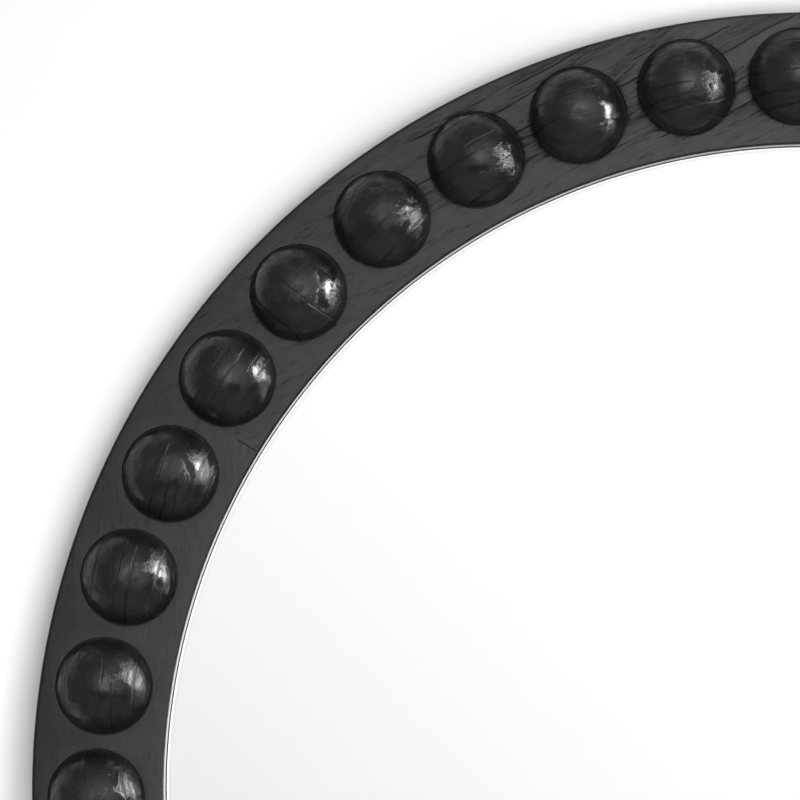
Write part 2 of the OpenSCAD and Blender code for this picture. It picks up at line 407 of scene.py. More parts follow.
pores = fade(minus(pore_field, minus(fewest_pores, more_pores)), 0.0, 0.07)
streak_field = plus(cloud(place, (0.05, 0.0009, 0.0009), 3.0), more_pores)
streaks = fade(streak_field, 0.52, 0.80)
crack_spacing = given.outputs["Crack spacing"]
along, across = parts_of(place)[:2]
across = plus(across, times(cloud(place, 0.007, 2.0), crack_sway))
stripe = calculate("DIVIDE", across, crack_spacing)
stripe_number = calculate("FLOOR", stripe)
luck = add_node(tree, "ShaderNodeTexWhiteNoise", {"W": stripe_number}, noise_dimensions="1D")
off_line = minus(calculate("FRACT", stripe), luck.outputs["Value"])
off_line = times(calculate("ABSOLUTE", off_line), crack_spacing)
run_place = joined(along, times(stripe_number, 0.3))
crack_run = plus(cloud(run_place, 0.045, 1.0), given.outputs["Crack share"])
crack_run = fade(crack_run, 0.90, 1.02)
crack_width = times(crack_run, given.outputs["Crack width"])
off_line = calculate("DIVIDE", off_line, plus(crack_width, 0.00001))
cracks = times(fade(off_line, 0.45, 1.0, 1.0, 0.0), fade(crack_run, 0.0, 0.3))
fibres = cloud(place, (0.010, 0.0006, 0.0006), 2.0)
fill(made, {"Pores": pores, "Cracks": cracks, "First wood": first_wood})
fill(made, {"Streaks": streaks, "Fibres": fibres})

# The stain is thinner in patches, sinks in the pores, and the wood is torn a little at the seats' rims.
# A hair crack has opened at the inner end of each glued joint, and the lip's wall is polished.
torn_reach = 0.003
hair_half_width = 0.00016
hair_soft_width = 0.00042
hair_shortest = 0.010
hair_longest = 0.026
hair_taper = 0.004
oak_relief = 0.00014
black_oak, tree, shader = new_material("black stained oak")
grain_place = stored(tree, "grain")[0]
openness = stored(tree, "openness")[1]
spot = spot_on_piece(tree)
from_middle = off_axis(spot)
round_angle = calculate("ARCTAN2", parts_of(spot)["Z"], parts_of(spot)["X"])


def off_nearest(first, step):
    """The angle from a point to the nearest of what stands at even steps round the ring."""
    turns = calculate("DIVIDE", minus(round_angle, first - step / 2), step)
    past = minus(calculate("FRACT", turns), 0.5)
    return times(past, step)


aside = times(from_middle, off_nearest(first_stud, stud_step))
past_studs = minus(from_middle, stud_pitch_radius)
from_stud = length_of(joined(aside, past_studs))
torn = fade(from_stud, seat_radius + 0.0002, seat_radius + torn_reach, 0.12, 0.0)
torn = times(torn, fade(openness, 0.0, 1.0, 0.45, 1.0))
lively = fade(cloud(grain_place, (0.11, 0.030, 0.05), 1.0), 0.30, 0.46)
lively = times(lively, openness)
lively = times(lively, fade(past_studs, -0.032, -0.012, 0.25, 1.0))
pores, cracks, first_wood, streaks, fibres = use_group(
    tree, open_grain, Place=grain_place, Ring_width=0.0042, Pore_length=0.009, Pore_width=0.0004,
    Porosity=plus(times(lively, 0.10), torn), Crack_spacing=0.009, Crack_width=0.0006,
    Crack_share=fade(lively, 0.0, 0.8, 0.10, 0.50),
)
joint_off = calculate("ABSOLUTE", off_nearest(first_joint, segment_angle))
joint_off = times(joint_off, from_middle)
hair_reach = fade(cloud(spot, 0.12, 1.0), 0.3, 0.7, hair_shortest, hair_longest)
beyond_hair = minus(minus(from_middle, opening_radius), hair_reach)
hair_crack = fade(joint_off, hair_half_width, hair_soft_width, 1.0, 0.0)
hair_crack = times(hair_crack, fade(beyond_hair, -hair_taper, 0.0, 1.0, 0.0))
open_wood = larger(larger(pores, cracks), hair_crack)
patches = fade(cloud(grain_place, (0.09, 0.016, 0.03), 3.0), 0.35, 0.7, 0.0, 0.5)
streaks = times(streaks, lively)
stain = blend_colours(first_wood, grey(0.0080), grey(0.0068))
stain = blend_colours(patches, stain, grey(0.0115))
stain = blend_colours(fade(openness, 0.15, 1.2, 0.0, 0.85), stain, grey(0.022))
stain = blend_colours(fade(fibres, 0.35, 0.7, 0.0, 0.5), stain, grey(0.005))
stain = blend_colours(times(streaks, 0.8), stain, grey(0.006))
stain = blend_colours(open_wood, stain, grey(0.004))
lip_wall = fade(from_middle, opening_radius + 0.0001, opening_radius + 0.0004, 1.0, 0.0)
rough = fade(fibres, 0.3, 0.7, 0.29, 0.41)
rough = plus(rough, times(streaks, 0.10))
rough = plus(rough, times(open_wood, 0.30))
rough = times(rough, minus(1.0, lip_wall))
relief = minus(times(fibres, 0.24), times(streaks, 0.30))
bump(shader, minus(relief, open_wood), oak_relief)
fill(shader, {"Base Color": stain, "Roughness": rough, "IOR": 1.46})
fill(shader, {"Coat Weight": lip_wall, "Coat Roughness": 0.03, "Coat IOR": 1.8})


def add_section(name, near_x, far_x, front_y, rear_y):
    """A flat oblong to be spun into a ring or a curl."""
    deselect_all()
    middle_place = ((near_x + far_x) / 2, (front_y + rear_y) / 2, 0)
    bpy.ops.mesh.primitive_plane_add(size=1, location=middle_place)
    bpy.context.object.scale = (far_x - near_x, rear_y - front_y, 1)
    return name_piece(name)


def round_corners(size, steps):
    """Rounds the selected corners of a section."""
    bpy.ops.mesh.bevel(offset=size, segments=steps, profile=0.5, affect="VERTICES")


def spin_section(steps, angle):
    """Spins a whole section about the mirror's axis and closes the shell."""
    select_whole()
    bpy.ops.mesh.spin(steps=steps, angle=angle, center=(0, 0, 0), axis=(0, 1, 0))
    seal()
    close_up()


# The section of the bar, drawn in X and Y: X is the radius, and Y the depth from the wall.
ring_bar = add_section("ring_bar", ledge_radius, ring_radius, face_y, back_y)
open_up(ring_bar)
select_whole()
bpy.ops.mesh.bisect(plane_co=(0, ledge_y, 0), plane_no=(0, 1, 0))
pick("EDGE", lambda p: abs(p.x - ledge_radius) < near and p.y < ledge_y)
extrude(rebate_radius - ledge_radius, 0, 0)
select_whole()
bpy.ops.mesh.bisect(plane_co=(0, lip_back_y, 0), plane_no=(0, 1, 0))
pick("EDGE", lambda p: abs(p.x - rebate_radius) < near and p.y < lip_back_y)
extrude(opening_radius - rebate_radius, 0, 0)
for corner, size in (((ring_radius, face_y), outer_round), ((opening_radius, face_y), inner_round),
                     ((ring_radius, back_y), back_round)):
    pick("VERT", lambda p: abs(p.x - corner[0]) < near and abs(p.y - corner[1]) < near)
    round_corners(size, 5)
select_whole()
bpy.ops.mesh.dissolve_limited(angle_limit=math.radians(1))
spin_section(steps_a_segment, segment_angle)

# One cutter bores a seat, whose rim is broken a little, and the blind hole under it.
facing_room = (math.pi / 2, 0, 0)
seat_cutter = add_peg("seat_cutter", seat_radius, 2 * seat_depth, 96, (0, face_y, 0), facing_room)
open_up(seat_cutter)
pick("FACE", lambda p: p.y > face_y + seat_depth - near)
bpy.ops.mesh.inset(thickness=seat_radius - stud_bore_radius)
extrude(0, stud_bore_depth, 0)
select_whole()
bpy.ops.mesh.bisect(plane_co=(0, face_y + seat_arris, 0), plane_no=(0, 1, 0))
pick("VERT", lambda p: p.y < face_y - near)
rim_spread = 1 + (seat_depth + seat_arris) / seat_radius
bpy.ops.transform.resize(value=(rim_spread, 1, rim_spread))
close_up()
dowel_cutters = [
    add_peg("dowel_cutter", dowel_bore_radius, dowel_bore_length, 32, (radius, dowel_y, 0))
    for radius in dowel_pitch_radii
]
screw_cutter = add_peg(
    "screw_cutter", screw_bore_radius, screw_bore_depth, 24,
    (screw_circle_radius, board_back_y - screw_bore_depth / 2, 0), facing_room,
)
hanger_cutters = [
    add_peg(
        "hanger_cutter", hanger_bore_radius, hanger_bore_depth, 24,
        (side * pivot_x, back_y - hanger_bore_depth / 2 + near, pivot_z - drop), facing_room,
    )
    for side in (-1, 1) for drop in hanger_screw_drops
]

segment_names = [f"frame_segment_{number}" for number in range(1, segment_count + 1)]
segment_openness = ((0.5, 0.8), (1.2, 0.05), (0.05, 0.2), (0.7, 0.4), (0.3, 0.9), (0.8, 0.2))
heart_behind = 0.055
board_middle_share = 0.97
seat_reach = math.asin((seat_radius + 0.001) / stud_pitch_radius)
into_wall = Vector((0, 1, 0))
chance = random.Random(7)
for index, name in enumerate(segment_names):
    start = first_joint + index * segment_angle
    middle = start + segment_angle / 2
    segment = copy_piece(ring_bar, "piece_" + name, turn_in_face(start))
    cutters = []
    for number in range(1, stud_count + 1):
        past_start = (stud_angle(number) - start + seat_reach) % (2 * math.pi)
        if past_start < segment_angle + 2 * seat_reach:
            stud_place = on_face(stud_angle(number), stud_pitch_radius)
            cutters.append(copy_piece(seat_cutter, "cutter", Matrix.Translation(stud_place)))
    for joint in (start, start + segment_angle):
        cutters += [copy_piece(cutter, "cutter", turn_in_face(joint)) for cutter in dowel_cutters]
    for screw in (0.5, 1.5):
        cutters.append(copy_piece(screw_cutter, "cutter", turn_in_face(start + screw * screw_step)))
    for cutter in hanger_cutters:
        hole = sum((corner.co for corner in cutter.data.vertices), Vector()) / len(cutter.data.vertices)
        hole_angle = math.atan2(hole.z, hole.x)
        if (hole_angle - start) % (2 * math.pi) < segment_angle:
            cutters.append(copy_piece(cutter, "cutter", Matrix()))
    bore_out(segment, cutters)
    smooth(segment, 30)
    along = Vector((-math.sin(middle), 0, math.cos(middle)))
    board_middle = stud_pitch_radius * board_middle_share + chance.uniform(-0.02, 0.02)
    outward = on_face(middle, 1)
    origin = outward * board_middle + Vector((0, face_y, 0))
    lay_grain(segment, origin, along, outward, into_wall, Vector((chance.uniform(1, 9), 0, heart_behind)))
    openness = segment.data.attributes.new("openness", "FLOAT", "POINT")
    at_start, at_end = segment_openness[index]
    for corner in segment.data.vertices:
        past_start = (math.atan2(corner.co.z, corner.co.x) - start + segment_angle) % (2 * math.pi)
        share = past_start / segment_angle - 1
        openness.data[corner.index].value = at_start + (at_end - at_start) * share
    dress(segment, black_oak, "stained_ring_wood", "mirror", name)
for cutter in [ring_bar, seat_cutter, screw_cutter] + dowel_cutters + hanger_cutters:
    throw_away(cutter)

# Twelve beech dowels, two to a joint, are glued across the joints inside the ring. Each is fluted
# along its length, so that glue and air can pass, and pointed a little at both ends.
flute_count = 20
flute_depth = 0.0003
dowel_chamfer = 0.001
beech, tree, shader = new_material("beech")
grain_place = stored(tree, "grain")[0]
flecks = fade(cloud(grain_place, (0.0025, 0.0003, 0.0006), 1.0), 0.60, 0.70)
broad = cloud(grain_place, (0.05, 0.002, 0.002), 2.0)
tone = blend_colours(fade(broad, 0.3, 0.7), (0.46, 0.30, 0.17, 1), (0.58, 0.41, 0.25, 1))
tone = blend_colours(flecks, tone, (0.30, 0.17, 0.09, 1))
fill(shader, {"Base Color": tone, "Roughness": fade(broad, 0.3, 0.7, 0.55, 0.68)})
bump(shader, minus(0.0, flecks), 0.00006)

dowel = add_peg("dowel", dowel_radius, dowel_length - 2 * dowel_chamfer, 2 * flute_count, (0, 0, 0))
open_up(dowel)
flute_step = math.pi / flute_count
pick("VERT", lambda p: round(math.atan2(p.y, p.x) / flute_step) % 2 == 0)
flute_share = (dowel_radius - flute_depth) / dowel_radius
bpy.ops.transform.resize(value=(flute_share, flute_share, 1))
dowel_end_share = (dowel_radius - dowel_chamfer) / dowel_radius
for end in (-1, 1):
    pick("FACE", lambda p: end * p.z > dowel_length / 2 - dowel_chamfer - near)
    extrude(0, 0, end * dowel_chamfer)
    bpy.ops.transform.resize(value=(dowel_end_share, dowel_end_share, 1))
close_up()
smooth(dowel, 30)
dowels = []
for joint in range(segment_count):
    angle = first_joint + joint * segment_angle
    tangent = Vector((-math.sin(angle), 0, math.cos(angle)))
    outward = on_face(angle, 1)
    for radius in dowel_pitch_radii:
        to_ring = turn_in_face(angle) @ Matrix.Translation((radius, dowel_y, 0))
        laid = copy_piece(dowel, "dowel_laid", to_ring)
        shift = Vector((chance.uniform(1, 9), chance.uniform(1, 9), 0))
        lay_grain(laid, outward * radius, tangent, outward, into_wall, shift)
        dowels.append(laid)
throw_away(dowel)
dress(join_all(dowels, "piece_joint_dowels"), beech, "dowel_beech", "mirror", "joint_dowels")

# Forty half balls are turned from the same wood with a spigot under each, which is glued in its bore.
# They are stained near black and lacquered, and the lacquer sinks in the pores and drying cracks.
stud_radius = 0.0278
spigot_radius = 0.008
spigot_length = 0.012
spigot_chamfer = 0.001
lacquer_relief = 0.00012
knot_stud = 16
knot_shift = Vector((3.0, 0.003, 0.004))
lacquered_studs, tree, shader = new_material("lacquered stud wood")
grain_place = stored(tree, "grain")[0]
pores, cracks, first_wood, streaks, fibres = use_group(
    tree, open_grain, Place=grain_place, Ring_width=0.0035, Pore_length=0.010, Pore_width=0.0004,
    Porosity=0.04, Crack_spacing=0.0085, Crack_width=0.0010, Crack_share=0.46,
)
open_wood = larger(cracks, pores)
tone = blend_colours(first_wood, grey(0.0125), grey(0.010))
tone = blend_colours(open_wood, tone, grey(0.005))
rough = plus(fade(fibres, 0.3, 0.7, 0.12, 0.18), times(open_wood, 0.3))
ripple = cloud(grain_place, (0.0015, 0.0010, 0.0010), 1.0)
crinkle = cloud(grain_place, (0.0007, 0.0005, 0.0005), 0.0)
crinkled = fade(cloud(grain_place, (0.012, 0.008, 0.008), 1.0), 0.42, 0.58)
crinkle = times(times(crinkle, crinkled), 2.4)
relief = plus(times(ripple, 0.5), crinkle)
relief = minus(relief, times(pores, 0.7))
relief = minus(relief, times(cracks, 1.3))
bump(shader, relief, lacquer_relief)
fill(shader, {"Base Color": tone, "Roughness": rough, "IOR": 1.46})

deselect_all()
bpy.ops.mesh.primitive_uv_sphere_add(
    segments=72, ring_count=36, radius=stud_radius, rotation=facing_room
)
half_ball = name_piece("half_ball")
open_up(half_ball)
pick("FACE", lambda p: p.y > 0)
bpy.ops.mesh.delete(type="FACE")
pick("VERT", lambda p: p.y > -near)
bpy.ops.mesh.edge_face_add()
extrude(0, seat_depth, 0)
bpy.ops.mesh.select_mode(type="FACE")
bpy.ops.mesh.inset(thickness=stud_radius - spigot_radius)
extrude(0, spigot_length - spigot_chamfer, 0)
extrude(0, spigot_chamfer, 0)
spigot_end_share = (spigot_radius - spigot_chamfer) / spigot_radius
bpy.ops.transform.resize(value=(spigot_end_share, 1, spigot_end_share))
seal()
close_up()
for number in range(1, stud_count + 1):
    angle = stud_angle(number)
    centre = on_face(angle, stud_pitch_radius) + Vector((0, face_y, 0))
    name = f"stud_{number:02d}"
    stud = copy_piece(half_ball, "piece_" + name, Matrix.Translation(centre))
    smooth(stud, 40)
    lean = angle + math.pi / 2 + math.radians(chance.uniform(2, 12))
    along = on_face(lean, 1)
    across = Vector((math.sin(lean), 0, -math.cos(lean)))
    shift = Vector((chance.uniform(1, 9), chance.uniform(-0.03, 0.03), chance.uniform(0.03, 0.06)))
    axes = (along, across, into_wall)
    if number == knot_stud:
        axes = (into_wall, along, across)
        shift = knot_shift
    lay_grain(stud, centre, *axes, shift)
    dress(stud, lacquered_studs, "stained_stud_wood", "mirror", name)
throw_away(half_ball)

# The glass is a round sheet of clear float glass with ground edges. It lies against the back of the lip,
# and its tint is darkened in a narrow band along the lip as painted shade, deeper towards the top.
glass_low, glass_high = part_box("mirror_glass")
glass_radius = 0.382
glass_arris = 0.0005
lip_shade_width = 0.0040
lip_shade_corner = 0.0006
lip_shade_least_z = 0.10
lip_shade_most_z = 0.42


def add_disc(name, radius, front_y, rear_y):
    """A round sheet across the mirror's axis."""
    return add_peg(name, radius, rear_y - front_y, 360, (0, (front_y + rear_y) / 2, 0), facing_room)


def break_edges(sheet, size):
    """Takes the sharpness off the edges of a round sheet."""
    open_up(sheet)
    bpy.ops.mesh.select_mode(type="EDGE")
    select_whole()
    bpy.ops.mesh.edges_select_sharp(sharpness=math.radians(60))
    bpy.ops.mesh.bevel(offset=size, segments=1, affect="EDGES")
    close_up()


glass = add_disc("piece_mirror_glass", glass_radius, glass_low.y, glass_high.y)
break_edges(glass, glass_arris)
smooth(glass, 30)
clear_glass, tree, shader = new_material("clear float glass")
spot = spot_on_piece(tree)
from_middle = off_axis(spot)
# Painted shade: the tint darkens in a band just inside the lip, and more so towards the top.
lip_shade = fade(from_middle, opening_radius - lip_shade_width, opening_radius - lip_shade_corner)
shade_above = fade(parts_of(spot)["Z"], lip_shade_least_z, lip_shade_most_z, 0.25, 1.0)
lip_shade = times(lip_shade, shade_above)
ground_rim = fade(from_middle, glass_radius - 0.0006, glass_radius - 0.0004)
tint = blend_colours(lip_shade, (0.990, 0.992, 0.991, 1), (0.78, 0.785, 0.78, 1))
tint = blend_colours(ground_rim, tint, (0.55, 0.72, 0.66, 1))
rough = fade(ground_rim, 0.0, 1.0, 0.0, 0.45)
fill(shader, {"Base Color": tint, "Roughness": rough, "Transmission Weight": 1.0, "IOR": 1.52})
dress(glass, clear_glass, "clear_glass", "mirror", "mirror_glass")

# Silver is laid on the back of the glass and sealed with grey paint, which shows from behind. It
# stops at the ground edge of the glass, so it's a little narrower than the sheet.
silver_gap = 0.00002
paint_edge = 0.0001
paint_start = 0.00004
silver_low, silver_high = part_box("silver_coat")
silver_radius = glass_radius - glass_arris
silver = add_disc("piece_silver_coat", silver_radius, silver_low.y + silver_gap, silver_high.y)
open_up(silver)
pick("EDGE", lambda p: p.y > silver_high.y - near)
bpy.ops.mesh.bevel(offset=paint_edge, segments=2, profile=0.5, affect="EDGES")
close_up()
smooth(silver, 30)
mirror_silver, tree, shader = new_material("silver and backing paint")
spot = spot_on_piece(tree)
depth = minus(parts_of(spot)["Y"], silver_low.y)
painted = fade(depth, paint_start, 2 * paint_start)
roller = cloud(spot, 0.003, 2.0)
paint = blend_colours(fade(roller, 0.3, 0.7), (0.16, 0.17, 0.175, 1), (0.22, 0.23, 0.235, 1))
fill(shader, {
    "Base Color": blend_colours(painted, grey(0.99), paint),
    "Metallic": minus(1.0, painted),
    "Roughness": fade(painted, 0.0, 1.0, 0.0, 0.5),
})
bump(shader, times(roller, painted), 0.00002)
dress(silver, mirror_silver, "mirror_silver", "mirror", "silver_coat")

# Four rubber blocks stand between the rim of the glass and the wall of its rebate, two below it to
# carry it and two above. They are cut from moulded strip, so their long edges are rounded.
block_length = 0.026
block_gap = 0.00005
block_round = 0.0003
block_from_upright = math.radians(20)


def rubber(name, tone):
    """Black rubber from a mould, with a faint bloom and a fine leathery skin."""
    material, tree, shader = new_material(name)
    spot = spot_on_piece(tree)
    bloom = fade(cloud(spot, 0.004, 3.0), 0.4, 0.75)
    colour = blend_colours(bloom, grey(tone), grey(tone * 1.9))
    fill(shader, {"Base Color": colour, "Roughness": fade(bloom, 0.0, 1.0, 0.55, 0.75)})
    bump(shader, cloud(spot, 0.0004, 2.0), 0.00004)
    return material


block_angle = block_length / glass_radius
block_rim = rebate_radius - block_gap
block = add_section("block", glass_radius + block_gap, block_rim, glass_low.y, glass_high.y)
open_up(block)
select_whole()
round_corners(block_round, 3)
spin_section(10, block_angle)
smooth(block, 40)
blocks = []
for upright in (math.pi / 2, -math.pi / 2):
    for side in (-1, 1):
        start = upright + side * block_from_upright - block_angle / 2
        blocks.append(copy_piece(block, "block_laid", turn_in_face(start)))
throw_away(block)
block_rubber = rubber("block rubber", 0.022)
dress(join_all(blocks, "piece_glass_blocks"), block_rubber, "block_rubber", "mirror", "glass_blocks")

# A ring of black closed-cell foam strip lies on the back of the silver near its rim. The backing
# board squeezes it, so its sides bulge a little, and it presses the glass against the lip.
cushion_low, cushion_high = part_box("glass_cushion")
cushion_width = 0.006
cushion_round = 0.0007
cushion_inside = silver_radius - cushion_width
cushion = add_section(
    "piece_glass_cushion", cushion_inside, silver_radius, cushion_low.y, cushion_high.y
)
open_up(cushion)
select_whole()
round_corners(cushion_round, 3)
select_whole()
bpy.ops.mesh.delete(type="ONLY_FACE")
spin_section(180, 2 * math.pi)
smooth(cushion, 40)
foam, tree, shader = new_material("closed cell foam")
spot = spot_on_piece(tree)
cells = add_node(tree, "ShaderNodeTexVoronoi", {"Vector": spot, "Scale": 2600.0}).outputs["Distance"]
cells = fade(cells, 0.1, 0.6)
colour = blend_colours(cells, grey(0.035), grey(0.06))
fill(shader, {"Base Color": colour, "Roughness": fade(cells, 0.0, 1.0, 0.8, 0.95)})
bump(shader, cells, 0.0001)
dress(cushion, foam, "foam_strip", "mirror", "glass_cushion")

# The back is closed by a round hardboard panel, smooth and brown with matted fibres in its face. It
# is screwed to the ledge through twelve countersunk holes, and its sawn edges are eased.
board_low, board_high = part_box("backing_board")
board_radius = 0.395
board_arris = 0.0004
countersink_radius = 0.00335
countersink_depth = 0.0018
cutter_overrun = 0.0005
hardboard, tree, shader = new_material("hardboard")
spot = spot_on_piece(tree)
bend = vector_math("MULTIPLY", cloud(spot, 0.006, 2.0), (0.004, 0.004, 0.004))
bent = vector_math("ADD", spot, bend)
matted = cloud(bent, (0.0030, 0.001, 0.0006), 3.0)
crossed = cloud(bent, (0.0006, 0.001, 0.0030), 3.0)
fibre = larger(matted, crossed)
patches = fade(cloud(spot, 0.09, 3.0), 0.3, 0.7)
sawn = fade(off_axis(spot), board_radius - 0.0006, board_radius - 0.0003, 0.0, 0.5)
panel = blend_colours(patches, (0.17, 0.095, 0.05, 1), (0.23, 0.135, 0.072, 1))
panel = blend_colours(fade(fibre, 0.56, 0.74, 0.0, 0.8), panel, (0.33, 0.21, 0.12, 1))
panel = blend_colours(fade(fibre, 0.50, 0.38, 0.0, 0.7), panel, (0.085, 0.045, 0.024, 1))
panel = blend_colours(sawn, panel, (0.32, 0.21, 0.13, 1))
fill(shader, {"Base Color": panel, "Roughness": fade(fibre, 0.4, 0.7, 0.42, 0.62)})
bump(shader, fibre, 0.00006)

board = add_disc("piece_backing_board", board_radius, board_low.y, board_high.y)
break_edges(board, board_arris)
through = board_high.y - board_low.y + 2 * cutter_overrun - countersink_depth
countersink_cutter = add_peg(
    "countersink_cutter", screw_bore_radius, through, 24,
    (0, -countersink_depth - through / 2, 0), facing_room,
)
open_up(countersink_cutter)
pick("FACE", lambda p: p.y > -countersink_depth - near)
extrude(0, countersink_depth, 0)
flare = countersink_radius / screw_bore_radius
bpy.ops.transform.resize(value=(flare, 1, flare))
extrude(0, cutter_overrun, 0)
close_up()
on_board = Vector((0, board_high.y, 0))
screw_places = [
    Matrix.Translation(on_face(first_joint + (index + 0.5) * screw_step, screw_circle_radius) + on_board)
    for index in range(screw_count)
]
bore_out(board, [copy_piece(countersink_cutter, "cutter", place) for place in screw_places])
throw_away(countersink_cutter)
smooth(board, 30)
dress(board, hardboard, "hardboard", "mirror", "backing_board")

# Twelve countersunk wood screws hold the panel. They are zinc-plated steel, with a cross recess in
# the head, a plain neck through the board, and a thread that bites in the ledge.
screw_head_radius = 0.0033
screw_radius = 0.0015
screw_root_radius = 0.00115
screw_pitch = 0.0012
screw_length = 0.014
screw_tip = 0.003
screw_point_radius = 0.00025
flank_share = 0.65
slot_width = 0.001
slot_depth = 0.0011

tree, given, made = new_group(
    "zinc plate",
    [("Place", VECTOR), ("Tone", FLOAT)],
    [("Colour", "NodeSocketColor"), ("Roughness", FLOAT), ("Height", FLOAT)],
)
zinc_plate = tree
place = given.outputs["Place"]
spangle = cloud(place, 0.0035, 3.0)
dulled = fade(cloud(place, 0.009, 4.0), 0.45, 0.7)
coat = blend_colours(given.outputs["Tone"], (0.62, 0.65, 0.69, 1), (0.74, 0.73, 0.68, 1))
coat = blend_colours(fade(spangle, 0.35, 0.65, 0.0, 0.6), coat, (0.50, 0.53, 0.58, 1))
coat = blend_colours(times(dulled, 0.5), coat, (0.40, 0.41, 0.42, 1))
coat_rough = plus(fade(spangle, 0.3, 0.7, 0.24, 0.38), times(dulled, 0.15))
drawn = cloud(place, (0.00025, 0.00025, 0.006), 2.0)
fill(made, {"Colour": coat, "Roughness": coat_rough, "Height": drawn})


def zinc(name, tone, relief_depth):
    """Zinc-plated steel; the tone runs from a blue passivate at 0 to a faint straw at 1."""
    material, tree, shader = new_material(name)
    colour, rough, height = use_group(tree, zinc_plate, Place=spot_on_piece(tree), Tone=tone)
    fill(shader, {"Base Color": colour, "Roughness": rough, "Metallic": 1.0})
    bump(shader, height, relief_depth)
    return material


def start_turned(name, radius, corners):
    """Starts a turned piece that grows along -Y from a disc at the origin."""
    deselect_all()
    bpy.ops.mesh.primitive_circle_add(
        vertices=corners, radius=radius, fill_type="NGON", rotation=facing_room
    )
    piece = name_piece(name)
    open_up(piece)
    bpy.ops.mesh.select_mode(type="FACE")
    select_whole()
    return piece


def grow(depth, from_radius, to_radius):
    """Extrudes the end of a turned piece along -Y and turns it to a new radius."""
    extrude(0, -depth, 0)
    share = to_radius / from_radius
    bpy.ops.transform.resize(value=(share, 1, share))


def cut_thread(turns, pitch, crest, root):
    """Grows the ridges of a thread on the end of a turned piece, from crest to root."""
    for _ in range(turns):
        grow(pitch * flank_share, crest, root)
        grow(pitch * (1 - flank_share), root, crest)


def recess_cutter(reach):
    """A cross that reaches as far as a screw's recess does, and cuts down from its head."""
    deselect_all()
    bpy.ops.mesh.primitive_cube_add(size=slot_width, location=(0, 0, 0))
    cross = name_piece("cross")
    open_up(cross)
    pick("VERT", lambda p: p.y < 0)
    bpy.ops.transform.translate(value=(0, slot_width / 2 - slot_depth, 0))
    arm = reach - slot_width / 2
    for side in (-1, 1):
        pick("FACE", lambda p: side * p.x > slot_width / 2 - near)
        extrude(side * arm, 0, 0)
        pick("FACE", lambda p: side * p.z > slot_width / 2 - near and abs(p.x) < near)
        extrude(0, 0, side * arm)
    close_up()
    return cross


def finish_screw(piece, head_radius):
    """Closes a turned screw and cuts the cross in its head."""
    seal()
    close_up()
    bore_out(piece, [recess_cutter(head_radius / 2)])
    smooth(piece, 35)


thread_turns = 4
neck = screw_length - screw_tip - thread_turns * screw_pitch - countersink_depth
screw = start_turned("screw", screw_head_radius, 24)
grow(countersink_depth, screw_head_radius, screw_radius)
grow(neck, screw_radius, screw_radius)
cut_thread(thread_turns, screw_pitch, screw_radius, screw_root_radius)
grow(screw_tip, screw_radius, screw_point_radius)
finish_screw(screw, screw_head_radius)
screws = [
    copy_piece(screw, "screw_driven", place @ Matrix.Rotation(chance.uniform(0, math.pi), 4, "Y"))
    for place in screw_places
]
throw_away(screw)
screw_zinc = zinc("zinc-plated screws", 0.35, 0.000006)
dress(join_all(screws, "piece_board_screws"), screw_zinc, "zinc_screws", "mirror", "board_screws")

# Two hanger straps of zinc-plated sheet are curled round the wire of their D-rings at the top and
# screwed to the back of the frame. The lower end is rounded, and the curl leaves a narrow seam.
strap_width = 0.013
strap_thickness = 0.0012
strap_length = 0.0335
barrel_bore_radius = 0.00158
barrel_radius = barrel_bore_radius + strap_thickness
curl_angle = math.radians(298)
strap_lift = -pivot_y + barrel_radius + back_y
strap_arris = 0.00015
end_round = strap_width * 0.499
strap_inside = strap_thickness - barrel_radius
strap = add_section("strap", -strap_width / 2, strap_width / 2, -barrel_radius, strap_inside)
open_up(strap)
select_whole()
bpy.ops.mesh.spin(steps=40, angle=curl_angle, center=(0, 0, 0), axis=(1, 0, 0))
pick("FACE", lambda p: abs(p.z) < near and p.y < -barrel_bore_radius)
extrude(0, strap_lift, -barrel_radius)
extrude(0, 0, barrel_radius - strap_length)
pick("EDGE", lambda p: p.z < near - strap_length and abs(p.x) > strap_width / 2 - near)
bpy.ops.mesh.bevel(offset=end_round, segments=14, profile=0.5, affect="EDGES")
seal()
close_up()
arris = strap.modifiers.new("arris", "BEVEL")
arris.width = strap_arris
arris.segments = 1
arris.limit_method = "ANGLE"
arris.angle_limit = math.radians(50)
apply_all(strap)
bore_out(strap, [
    add_peg("cutter", hanger_bore_radius, 4 * strap_thickness, 32, (0, -barrel_radius, -drop), facing_room)
    for drop in hanger_screw_drops
])
smooth(strap, 35)
strap_zinc = zinc("zinc-plated straps", 0.0, 0.000012)
pivots = {
    "left": Matrix.Translation((-pivot_x, pivot_y, pivot_z)),
    "right": Matrix.Translation((pivot_x, pivot_y, pivot_z)),
}
for side, place in pivots.items():
    laid = copy_piece(strap, f"piece_{side}_hanger_strap", place)
    dress(laid, strap_zinc, "zinc_straps", "mirror", f"{side}_hanger_strap")
throw_away(strap)

# A D-ring of bent steel wire swings in each strap's curl. It stands up from its pivot and leans on
# the back of the frame, until a wall hook takes it.
wire_radius = 0.0015
ring_bend = 0.003
ring_half_width = 0.010
ring_arc_height = 0.006
ring_lean = math.radians(4.589)
straight = 2 * (ring_half_width - ring_bend)
deselect_all()
bpy.ops.mesh.primitive_circle_add(
    vertices=20, radius=wire_radius, location=(-straight / 2, 0, 0), rotation=(0, math.pi / 2, 0)
)
wire = name_piece("wire")
open_up(wire)
select_whole()
leg = ring_arc_height - ring_bend
for across, up, bend_centre, turn, bend_steps in (
    (straight, 0, (ring_half_width - ring_bend, 0, ring_bend), math.pi / 2, 10),
    (0, leg, (0, 0, ring_arc_height), math.pi, 32),
    (0, -leg, (ring_bend - ring_half_width, 0, ring_bend), math.pi / 2, 10),
):
    extrude(across, 0, up)
    bpy.ops.mesh.spin(steps=bend_steps, angle=turn, center=bend_centre, axis=(0, 1, 0))
seal()
close_up()
smooth(wire, 60)
